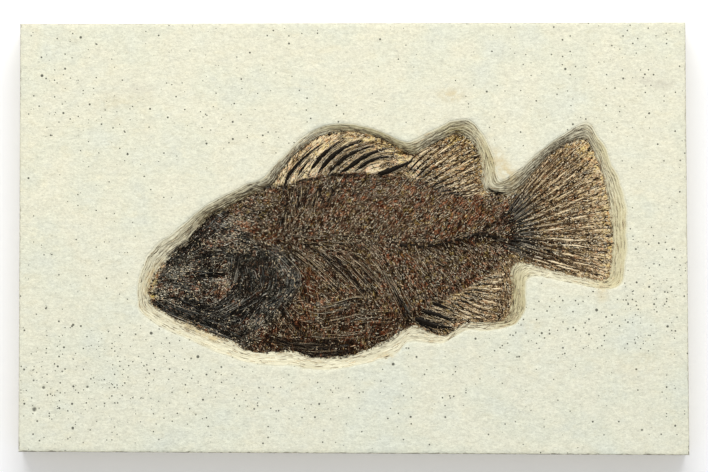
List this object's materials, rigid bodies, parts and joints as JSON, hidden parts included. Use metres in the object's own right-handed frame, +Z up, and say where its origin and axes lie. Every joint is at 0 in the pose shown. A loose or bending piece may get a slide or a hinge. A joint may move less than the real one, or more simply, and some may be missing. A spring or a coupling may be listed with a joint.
{
  "type": "fossil fish slab",
  "caption": "Flat rectangular limestone slab with a fossil fish lying in a shallow hollow that steps down to it in thin ledges; lies flat or leans as a display piece.",
  "frame": {"origin": "middle of the slab's flat underside", "axes": "+X along the slab from the snout to the tail, +Y towards the fish's back, +Z up through the slab's thickness"},
  "size_m": [0.2148, 0.1386, 0.016],
  "materials": {
    "pale_limestone": "matte pale cream limestone with fine scrape marks and dark specks",
    "fossil_bone": "dark brown to black fossil bone and scale, slightly glossy"
  },
  "bodies": {
    "root": {"limestone_slab": "pale_limestone", "fossil_fish": "fossil_bone"}
  },
  "joints": []
}
